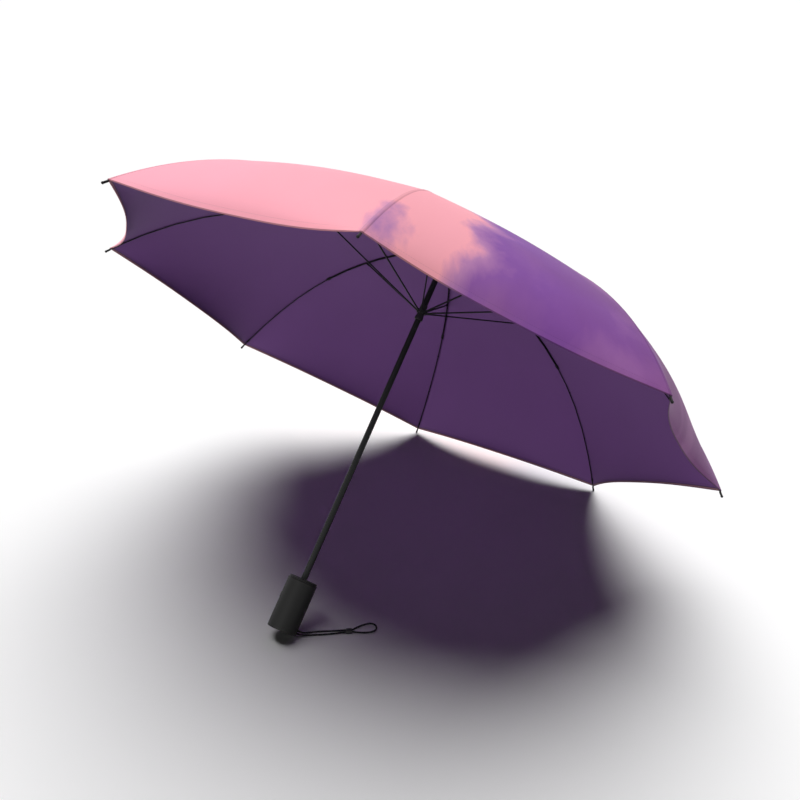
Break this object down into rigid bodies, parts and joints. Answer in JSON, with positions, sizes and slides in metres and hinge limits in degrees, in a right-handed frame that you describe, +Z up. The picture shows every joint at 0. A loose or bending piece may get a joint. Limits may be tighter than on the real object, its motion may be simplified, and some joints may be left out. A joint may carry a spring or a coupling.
{
  "type": "automatic umbrella",
  "caption": "Open stick umbrella lying on its handle and two rib tips, with a folding frame, sliding runner, push button and wrist cord.",
  "frame": {"origin": "on the floor, under the middle of the umbrella's box", "axes": "+X across the umbrella, square to its shaft; +Y level, from the handle towards the crown; +Z up"},
  "size_m": [0.9182, 0.6792, 0.6442],
  "materials": {
    "handle_black": "matt moulded plastic",
    "collar_black": "satin moulded plastic",
    "shaft_black": "black enamelled steel tube",
    "frame_black": "black enamelled folded steel",
    "rod_black": "black coated rod",
    "runner_black": "black coated",
    "tip_black": "glossy moulded plastic",
    "button_black": "satin moulded plastic",
    "bead_black": "satin moulded plastic",
    "cord_black": "braided cord",
    "pin_steel": "plain drawn steel",
    "spring_steel": "spring steel wire",
    "plug_brass": "turned brass",
    "canopy_cloth": "woven cloth, dark inside, pink and violet cloud print outside"
  },
  "bodies": {
    "shaft": {"handle_grip": "handle_black", "handle_collar": "collar_black", "base_cap": "handle_black", "strap_anchor": "collar_black", "button_spring": "spring_steel", "shaft_tube": "shaft_black", "crown_notch": "runner_black", "crown_ring": "pin_steel", "top_cap": "tip_black", "spring_plug": "plug_brass", "main_spring": "spring_steel", "strap_cord": "cord_black", "strap_slider": "bead_black"},
    "runner": {"runner": "runner_black", "runner_pin": "pin_steel"},
    "button": {"push_button": "button_black", "latch_bar": "pin_steel"},
    "rib_1": {"rib_1": "frame_black", "canopy_panel_1": "canopy_cloth"},
    "rib_end_1": {"rib_end_1": "rod_black", "rib_tip_1": "tip_black"},
    "stretcher_1": {"stretcher_1": "frame_black"},
    "rib_2": {"rib_2": "frame_black", "canopy_panel_2": "canopy_cloth"},
    "rib_end_2": {"rib_end_2": "rod_black", "rib_tip_2": "tip_black"},
    "stretcher_2": {"stretcher_2": "frame_black"},
    "rib_3": {"rib_3": "frame_black", "canopy_panel_3": "canopy_cloth"},
    "rib_end_3": {"rib_end_3": "rod_black", "rib_tip_3": "tip_black"},
    "stretcher_3": {"stretcher_3": "frame_black"},
    "rib_4": {"rib_4": "frame_black", "canopy_panel_4": "canopy_cloth"},
    "rib_end_4": {"rib_end_4": "rod_black", "rib_tip_4": "tip_black"},
    "stretcher_4": {"stretcher_4": "frame_black"},
    "rib_5": {"rib_5": "frame_black", "canopy_panel_5": "canopy_cloth"},
    "rib_end_5": {"rib_end_5": "rod_black", "rib_tip_5": "tip_black"},
    "stretcher_5": {"stretcher_5": "frame_black"},
    "rib_6": {"rib_6": "frame_black", "canopy_panel_6": "canopy_cloth"},
    "rib_end_6": {"rib_end_6": "rod_black", "rib_tip_6": "tip_black"},
    "stretcher_6": {"stretcher_6": "frame_black"},
    "rib_7": {"rib_7": "frame_black", "canopy_panel_7": "canopy_cloth"},
    "rib_end_7": {"rib_end_7": "rod_black", "rib_tip_7": "tip_black"},
    "stretcher_7": {"stretcher_7": "frame_black"},
    "rib_8": {"rib_8": "frame_black", "canopy_panel_8": "canopy_cloth"},
    "rib_end_8": {"rib_end_8": "rod_black", "rib_tip_8": "tip_black"},
    "stretcher_8": {"stretcher_8": "frame_black"}
  },
  "joints": [
    {"name": "runner_slide", "type": "slide", "parent": "shaft", "child": "runner", "axis": [0, -0.6833, -0.7302], "range_m": [0, 0.29306], "stiffness_N_per_m": 60, "springref_m": -0.08, "deforming": ["main_spring"]},
    {"name": "button_press", "type": "slide", "parent": "shaft", "child": "button", "axis": [1, 0, 0], "range_m": [0, 0.0015], "stiffness_N_per_m": 300, "springref_m": -0.002, "deforming": ["button_spring"]},
    {"name": "rib_hinge_1", "type": "hinge", "parent": "shaft", "child": "rib_1", "pos_m": [0.00831, 0.13482, 0.45744], "axis": [-0.3827, 0.6746, -0.6313], "range_deg": [0, 75.67], "deforming": ["canopy_panel_1"]},
    {"name": "knee_hinge_1", "type": "hinge", "parent": "rib_1", "child": "rib_end_1", "pos_m": [0.27439, 0.18117, 0.34567], "axis": [-0.3827, 0.6746, -0.6313], "range_deg": [-24.09, 0]},
    {"name": "stretcher_hinge_1", "type": "hinge", "parent": "rib_1", "child": "stretcher_1", "pos_m": [0.18502, 0.17246, 0.39054], "axis": [-0.3827, 0.6746, -0.6313], "range_deg": [-134.84, 0]},
    {"name": "rib_hinge_2", "type": "hinge", "parent": "shaft", "child": "rib_2", "pos_m": [0.00344, 0.13837, 0.45411], "axis": [-0.9239, 0.2794, -0.2615], "range_deg": [0, 75.67], "deforming": ["canopy_panel_2"]},
    {"name": "knee_hinge_2", "type": "hinge", "parent": "rib_2", "child": "rib_end_2", "pos_m": [0.11366, 0.29853, 0.23584], "axis": [-0.9239, 0.2794, -0.2615], "range_deg": [-24.09, 0]},
    {"name": "stretcher_hinge_2", "type": "hinge", "parent": "rib_2", "child": "stretcher_2", "pos_m": [0.07664, 0.25159, 0.31649], "axis": [-0.9239, 0.2794, -0.2615], "range_deg": [-134.84, 0]},
    {"name": "rib_hinge_3", "type": "hinge", "parent": "shaft", "child": "rib_3", "pos_m": [-0.00344, 0.13837, 0.45411], "axis": [-0.9239, -0.2794, 0.2615], "range_deg": [0, 75.67], "deforming": ["canopy_panel_3"]},
    {"name": "knee_hinge_3", "type": "hinge", "parent": "rib_3", "child": "rib_end_3", "pos_m": [-0.11366, 0.29853, 0.23584], "axis": [-0.9239, -0.2794, 0.2615], "range_deg": [-24.09, 0]},
    {"name": "stretcher_hinge_3", "type": "hinge", "parent": "rib_3", "child": "stretcher_3", "pos_m": [-0.07664, 0.25159, 0.31649], "axis": [-0.9239, -0.2794, 0.2615], "range_deg": [-134.84, 0]},
    {"name": "rib_hinge_4", "type": "hinge", "parent": "shaft", "child": "rib_4", "pos_m": [-0.00831, 0.13482, 0.45744], "axis": [-0.3827, -0.6746, 0.6313], "range_deg": [0, 75.67], "deforming": ["canopy_panel_4"]},
    {"name": "knee_hinge_4", "type": "hinge", "parent": "rib_4", "child": "rib_end_4", "pos_m": [-0.27439, 0.18117, 0.34567], "axis": [-0.3827, -0.6746, 0.6313], "range_deg": [-24.09, 0]},
    {"name": "stretcher_hinge_4", "type": "hinge", "parent": "rib_4", "child": "stretcher_4", "pos_m": [-0.18502, 0.17246, 0.39054], "axis": [-0.3827, -0.6746, 0.6313], "range_deg": [-134.84, 0]},
    {"name": "rib_hinge_5", "type": "hinge", "parent": "shaft", "child": "rib_5", "pos_m": [-0.00831, 0.12979, 0.46215], "axis": [0.3827, -0.6746, 0.6313], "range_deg": [0, 75.67], "deforming": ["canopy_panel_5"]},
    {"name": "knee_hinge_5", "type": "hinge", "parent": "rib_5", "child": "rib_end_5", "pos_m": [-0.27439, 0.01519, 0.50099], "axis": [0.3827, -0.6746, 0.6313], "range_deg": [-24.09, 0]},
    {"name": "stretcher_hinge_5", "type": "hinge", "parent": "rib_5", "child": "stretcher_5", "pos_m": [-0.18502, 0.06055, 0.49527], "axis": [0.3827, -0.6746, 0.6313], "range_deg": [-134.84, 0]},
    {"name": "rib_hinge_6", "type": "hinge", "parent": "shaft", "child": "rib_6", "pos_m": [-0.00344, 0.12623, 0.46547], "axis": [0.9239, -0.2794, 0.2615], "range_deg": [0, 75.67], "deforming": ["canopy_panel_6"]},
    {"name": "knee_hinge_6", "type": "hinge", "parent": "rib_6", "child": "rib_end_6", "pos_m": [-0.11366, -0.10217, 0.61081], "axis": [0.9239, -0.2794, 0.2615], "range_deg": [-24.09, 0]},
    {"name": "stretcher_hinge_6", "type": "hinge", "parent": "rib_6", "child": "stretcher_6", "pos_m": [-0.07664, -0.01859, 0.56932], "axis": [0.9239, -0.2794, 0.2615], "range_deg": [-134.84, 0]},
    {"name": "rib_hinge_7", "type": "hinge", "parent": "shaft", "child": "rib_7", "pos_m": [0.00344, 0.12623, 0.46547], "axis": [0.9239, 0.2794, -0.2615], "range_deg": [0, 75.67], "deforming": ["canopy_panel_7"]},
    {"name": "knee_hinge_7", "type": "hinge", "parent": "rib_7", "child": "rib_end_7", "pos_m": [0.11366, -0.10217, 0.61081], "axis": [0.9239, 0.2794, -0.2615], "range_deg": [-24.09, 0]},
    {"name": "stretcher_hinge_7", "type": "hinge", "parent": "rib_7", "child": "stretcher_7", "pos_m": [0.07664, -0.01859, 0.56932], "axis": [0.9239, 0.2794, -0.2615], "range_deg": [-134.84, 0]},
    {"name": "rib_hinge_8", "type": "hinge", "parent": "shaft", "child": "rib_8", "pos_m": [0.00831, 0.12979, 0.46215], "axis": [0.3827, 0.6746, -0.6313], "range_deg": [0, 75.67], "deforming": ["canopy_panel_8"]},
    {"name": "knee_hinge_8", "type": "hinge", "parent": "rib_8", "child": "rib_end_8", "pos_m": [0.27439, 0.01519, 0.50099], "axis": [0.3827, 0.6746, -0.6313], "range_deg": [-24.09, 0]},
    {"name": "stretcher_hinge_8", "type": "hinge", "parent": "rib_8", "child": "stretcher_8", "pos_m": [0.18502, 0.06055, 0.49527], "axis": [0.3827, 0.6746, -0.6313], "range_deg": [-134.84, 0]}
  ],
  "couplings": [
    {"joint": "rib_hinge_1", "follows": "runner_slide", "rad_per_m": 4.5053},
    {"joint": "knee_hinge_1", "follows": "runner_slide", "rad_per_m": -1.4335},
    {"joint": "stretcher_hinge_1", "follows": "runner_slide", "rad_per_m": -8.0291},
    {"joint": "rib_hinge_2", "follows": "runner_slide", "rad_per_m": 4.5053},
    {"joint": "knee_hinge_2", "follows": "runner_slide", "rad_per_m": -1.4335},
    {"joint": "stretcher_hinge_2", "follows": "runner_slide", "rad_per_m": -8.0291},
    {"joint": "rib_hinge_3", "follows": "runner_slide", "rad_per_m": 4.5053},
    {"joint": "knee_hinge_3", "follows": "runner_slide", "rad_per_m": -1.4335},
    {"joint": "stretcher_hinge_3", "follows": "runner_slide", "rad_per_m": -8.0291},
    {"joint": "rib_hinge_4", "follows": "runner_slide", "rad_per_m": 4.5053},
    {"joint": "knee_hinge_4", "follows": "runner_slide", "rad_per_m": -1.4335},
    {"joint": "stretcher_hinge_4", "follows": "runner_slide", "rad_per_m": -8.0291},
    {"joint": "rib_hinge_5", "follows": "runner_slide", "rad_per_m": 4.5053},
    {"joint": "knee_hinge_5", "follows": "runner_slide", "rad_per_m": -1.4335},
    {"joint": "stretcher_hinge_5", "follows": "runner_slide", "rad_per_m": -8.0291},
    {"joint": "rib_hinge_6", "follows": "runner_slide", "rad_per_m": 4.5053},
    {"joint": "knee_hinge_6", "follows": "runner_slide", "rad_per_m": -1.4335},
    {"joint": "stretcher_hinge_6", "follows": "runner_slide", "rad_per_m": -8.0291},
    {"joint": "rib_hinge_7", "follows": "runner_slide", "rad_per_m": 4.5053},
    {"joint": "knee_hinge_7", "follows": "runner_slide", "rad_per_m": -1.4335},
    {"joint": "stretcher_hinge_7", "follows": "runner_slide", "rad_per_m": -8.0291},
    {"joint": "rib_hinge_8", "follows": "runner_slide", "rad_per_m": 4.5053},
    {"joint": "knee_hinge_8", "follows": "runner_slide", "rad_per_m": -1.4335},
    {"joint": "stretcher_hinge_8", "follows": "runner_slide", "rad_per_m": -8.0291}
  ]
}
